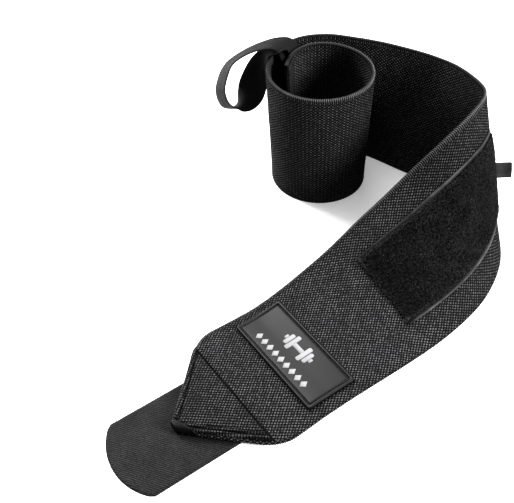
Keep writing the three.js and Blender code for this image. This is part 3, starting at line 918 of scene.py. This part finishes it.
def tag_ribbon():
    """Ribbon folded double, a narrow closed loop with its two ends in the seam."""
    distance = PATCH_TO + PIECE_GAP + TAG_THICKNESS / 2
    along = band.frame(np.array([distance]))[1][0]
    base = HALF_THICK + 0.2
    straight = np.linspace(0, 1, 24) * (TAG_LENGTH - 0.4)
    turns = np.radians(np.linspace(90, -90, 9)[1:-1])
    path = np.concatenate([
        np.c_[straight, np.full(24, TAG_FOLD)],
        np.c_[straight[-1] + TAG_FOLD * np.cos(turns), TAG_FOLD * np.sin(turns)],
        np.c_[straight[::-1], np.full(24, -TAG_FOLD)],
    ])
    walked = lengths_along(path)
    normal = unit(np.gradient(path, axis=0)) @ np.array([[0, 1], [-1, 0]])
    t = np.linspace(-1, 1, 15)
    grids = []
    for shift in (-TAG_HALF, TAG_HALF):
        rows = []
        for out, thick in path + normal * shift:
            share = out / TAG_LENGTH
            at = band.place(distance, TAG_ACROSS + t * TAG_WIDTH / 2, base + out)
            curl = 0.5 * share * np.cos(2.2 * t)
            rows.append(at - along * (thick + curl[:, None]) - UP * TAG_DROOP * share * share)
        grids.append(np.array(rows))
    s, side = np.meshgrid(walked, t * TAG_WIDTH / 2, indexing="ij")
    out = np.broadcast_to(path[:, :1] / TAG_LENGTH, s.shape)
    # painted light: dark by the seam, a painted highlight a little way out, and painted shade towards the free
    # end where the ribbon curls away
    shade = (0.55 + 0.45 * smooth(out / 0.2)) * (1 - 0.65 * smooth((out - 0.3) / 0.65))
    return shell(
        "tag_ribbon", grids[1], grids[0], s, side, ribbon, shade, shade, node="size_tag", slot="size_tag"
    )


def round_line(line, outward, width, angles):
    """Rings of points round lines on the band. The last axis but one of line runs along each line."""
    tangent = unit(np.gradient(line, axis=-2))
    aside = unit(np.cross(tangent, outward))
    out = np.cross(aside, tangent)
    turn = np.cos(angles)[:, None] * aside[..., None, :] + np.sin(angles)[:, None] * out[..., None, :]
    return line[..., None, :] + width[..., None, None] * turn


def stitches(name, starts, stops, lift, radius, material, slot):
    """Short threads, each a small closed tube from one point of the band to another."""
    rings, cloth = [], []
    for (s0, side0), (s1, side1) in zip(starts, stops):
        u = np.linspace(0, 1, 6)
        s = s0 + (s1 - s0) * u
        rise = lift + radius * 1.3 * np.sin(np.pi * u) - 0.4 * radius
        line = band.place(s, side0 + (side1 - side0) * u, rise)
        angles = np.radians(np.arange(0, 360, 60))
        width = radius * np.sqrt(np.clip(1 - (2 * u - 1) ** 2, 0.12, 1))
        rings.append(round_line(line, band.frame(s)[3], width, angles))
        cloth.append(np.stack(np.broadcast_arrays((u * 2)[:, None], np.radians(angles)[None, :], 1.0), -1))
    return tubes(name, np.array(rings), np.array(cloth), material, slot=slot)


def loose_fibres(count, seed):
    """Short stray hairs over the pile, thickest at its near end and its long edges."""
    random = np.random.default_rng(seed)
    half = PATCH_WIDTH / 2 - SELVAGE_WIDTH
    along = PATCH_FROM + (PATCH_TO - PATCH_FROM) * random.uniform(0, 1, count) ** 1.4
    side = random.uniform(-1, 1, count)
    edge = random.uniform(0, 1, count) < 0.35
    side = np.where(edge, np.sign(side) * (1 - 0.06 * random.uniform(0, 1, count)), side) * half
    near = random.uniform(0, 1, count) < 0.2
    along = np.where(near, PATCH_FROM + random.normal(0, 0.7, count), along)
    turn = random.uniform(0, 2 * np.pi, count)
    size = random.uniform(0.6, 1.6, count)
    bend = random.uniform(-1.2, 1.2, count)
    u = np.linspace(0, 1, 5)[None, :]
    angle = turn[:, None] + bend[:, None] * u
    s = along[:, None] + size[:, None] * u * np.cos(angle)
    across = side[:, None] + size[:, None] * u * np.sin(angle)
    peak = random.uniform(0.1, 0.6, count)[:, None]
    at_rim = smooth((s - PATCH_FROM + 0.4) / 0.9)
    rise = HALF_THICK + 0.5 + 1.15 * at_rim + peak * np.sin(np.pi * u)
    line = band.place(s, across + patch_middle(s), rise)
    rings = round_line(line, band.frame(s)[3], 0.055 * (1 - 0.7 * u**2), np.radians([0, 120, 240]))
    cloth_at = np.broadcast_to(np.stack([s, across, np.ones_like(s)], -1)[:, :, None], rings.shape)
    return tubes("pile_fibres", rings, cloth_at, fibre, slot="loop_patch")


def seam_stitches():
    """Stitches across the strip's near end and along the flap's two hems."""
    pieces = []
    spots = np.arange(-20.5, 20.6, 2.6)
    row = PATCH_FROM + 2.6
    starts = [(row, y) for y in spots]
    stops = [(row + 0.25, y + STITCH_LENGTH) for y in spots]
    lift = HALF_THICK + 1.55
    pieces.append(stitches("patch_stitches", starts, stops, lift, 0.16, dark_thread, "loop_patch"))
    starts, stops = [], []
    for sign in (1, -1):
        for s in np.arange(7, FLAP_TO - 3, 2.5):
            ends = np.array([s, s + STITCH_LENGTH])
            half, shift = outline(ends)
            fit = np.minimum(1.0, 0.9 * (half - FLAP_INSET) / HEM_REACH)
            side = sign * (half - FLAP_INSET - 4.4 * fit) + shift
            starts.append((ends[0], side[0]))
            stops.append((ends[1], side[1]))
    lift = HALF_THICK + 0.95
    pieces.append(stitches("flap_stitches", starts, stops, lift, 0.2, dark_thread, "end_flap"))
    return pieces


cloth = band_cloth()
edges = band_edging()
flap = end_flap()
fold = tip_fold()
tongue_piece = hook_tongue()
label()
motif()
patch = loop_pile()
selvages = loop_selvages()
hem = hem_tape()
strap, strap_length = thumb_strap()
tag = tag_ribbon()
patch_thread, flap_thread = seam_stitches()
fibres = loose_fibres(FIBRE_COUNT, 41)


# Floor, light and camera

CAMERA_PITCH = 46.6
CAMERA_ROLL = -3.4
CAMERA_PLACE = (-44.3, -389.6, 338.0)
FOCAL_PIXELS = 771.5
PICTURE_WIDTH = 514
SENSOR_WIDTH = 36


def floor():
    mesh = bpy.data.meshes.new("floor")
    mesh.from_pydata([(-20, -20, 0), (20, -20, 0), (20, 20, 0), (-20, 20, 0)], [], [(0, 1, 2, 3)])
    material = bpy.data.materials.new("floor")
    material.use_nodes = True
    surface = material.node_tree.nodes["Principled BSDF"]
    surface.inputs["Base Color"].default_value = (0.86, 0.86, 0.86, 1)
    surface.inputs["Emission Color"].default_value = (1, 1, 1, 1)
    surface.inputs["Emission Strength"].default_value = 0.2
    surface.inputs["Roughness"].default_value = 0.9
    surface.inputs["Specular IOR Level"].default_value = 0.1
    mesh.materials.append(material)
    piece = bpy.data.objects.new("floor", mesh)
    piece.visible_diffuse = False
    bpy.context.scene.collection.objects.link(piece)


def turned(x, y, z):
    """Turn whose axes are these three."""
    return Matrix([list(row) for row in np.stack([x, y, z], 1)]).to_4x4()


def softbox(name, place, aim, size, power):
    light = bpy.data.lights.new(name, "AREA")
    light.shape = "RECTANGLE"
    light.size, light.size_y = size
    light.energy = power
    piece = bpy.data.objects.new(name, light)
    away = unit(np.array(place, float) - np.array(aim, float))
    side = unit(np.cross((0, 0, 1), away)) if abs(away[2]) < 0.999 else np.array([1.0, 0, 0])
    piece.matrix_world = Matrix.Translation(place) @ turned(side, np.cross(away, side), away)
    bpy.context.scene.collection.objects.link(piece)


def camera():
    """The photograph's view, looking down by its pitch and turned by its roll about its own line."""
    pitch, roll = math.radians(CAMERA_PITCH), math.radians(CAMERA_ROLL)
    right = np.array([1.0, 0, 0])
    ahead = np.array([0, math.cos(pitch), -math.sin(pitch)])
    down = np.array([0, -math.sin(pitch), -math.cos(pitch)])
    x = math.cos(roll) * right - math.sin(roll) * down
    y = -(math.sin(roll) * right + math.cos(roll) * down)
    place = (ROLL_CENTRE + CAMERA_PLACE) * MM
    data = bpy.data.cameras.new("camera")
    data.sensor_width = SENSOR_WIDTH
    data.lens = FOCAL_PIXELS / PICTURE_WIDTH * SENSOR_WIDTH
    data.clip_start = 0.01
    piece = bpy.data.objects.new("camera", data)
    piece.matrix_world = Matrix.Translation(place.tolist()) @ turned(x, y, -ahead)
    bpy.context.scene.collection.objects.link(piece)
    bpy.context.scene.camera = piece


def key_light(height, share, spread):
    """Broad sun from behind and to the left. share is what it adds on the level floor."""
    light = bpy.data.lights.new("key", "SUN")
    light.energy = share * math.pi / math.sin(math.radians(height))
    light.angle = math.radians(spread)
    piece = bpy.data.objects.new("key", light)
    level = math.cos(math.radians(height))
    away = np.array([-0.5 * level, 0.866 * level, math.sin(math.radians(height))])
    side = unit(np.cross((0, 0, 1), away))
    piece.matrix_world = turned(side, np.cross(away, side), away)
    bpy.context.scene.collection.objects.link(piece)


def room(low, high):
    """Light all round, brighter to the back and above than to the front, with a pale band at the horizon."""
    world = bpy.data.worlds.new("world")
    world.use_nodes = True
    tree = world.node_tree

    def ramp(value, *numbers):
        node = tree.nodes.new("ShaderNodeMapRange")
        tree.links.new(value, node.inputs[0])
        for socket, number in zip(node.inputs[1:5], numbers):
            socket.default_value = number
        return node.outputs[0]

    def pick(operation, a, b):
        node = tree.nodes.new("ShaderNodeMath")
        node.operation = operation
        tree.links.new(a, node.inputs[0])
        tree.links.new(b, node.inputs[1])
        return node.outputs[0]

    place = tree.nodes.new("ShaderNodeTexCoord").outputs["Generated"]
    facing = tree.nodes.new("ShaderNodeVectorMath")
    facing.operation = "DOT_PRODUCT"
    facing.inputs[1].default_value = (-0.25, 0.7, 0.67)
    tree.links.new(place, facing.inputs[0])
    split = tree.nodes.new("ShaderNodeSeparateXYZ")
    tree.links.new(place, split.inputs[0])
    upright = split.outputs["Z"]
    horizon = pick("MINIMUM", ramp(upright, 0.05, 0.12, 0.9, 0.0), ramp(upright, -0.12, -0.02, 0.3, 0.9))
    strength = pick("MAXIMUM", ramp(facing.outputs["Value"], -0.5, 1.0, low, high), horizon)
    background = tree.nodes["Background"]
    background.inputs["Color"].default_value = (1, 1, 1, 1)
    tree.links.new(strength, background.inputs["Strength"])
    bpy.context.scene.world = world


floor()
key_light(50, 0.3, 4)
room(0.04, 0.8)
softbox("overhead", (-0.25, 0.5, 0.85), (0, 0, 0), (0.7, 0.6), 7.5)
softbox("right", (0.74, -0.42, 0.5), (0.05, 0.05, 0.04), (0.35, 0.35), 17)
softbox("left", (-0.75, 0.7, 0.5), (0, 0.09, 0.05), (0.25, 0.25), 9)
camera()
bpy.context.scene.view_settings.view_transform = "Standard"
bpy.context.scene.view_settings.look = "High Contrast"
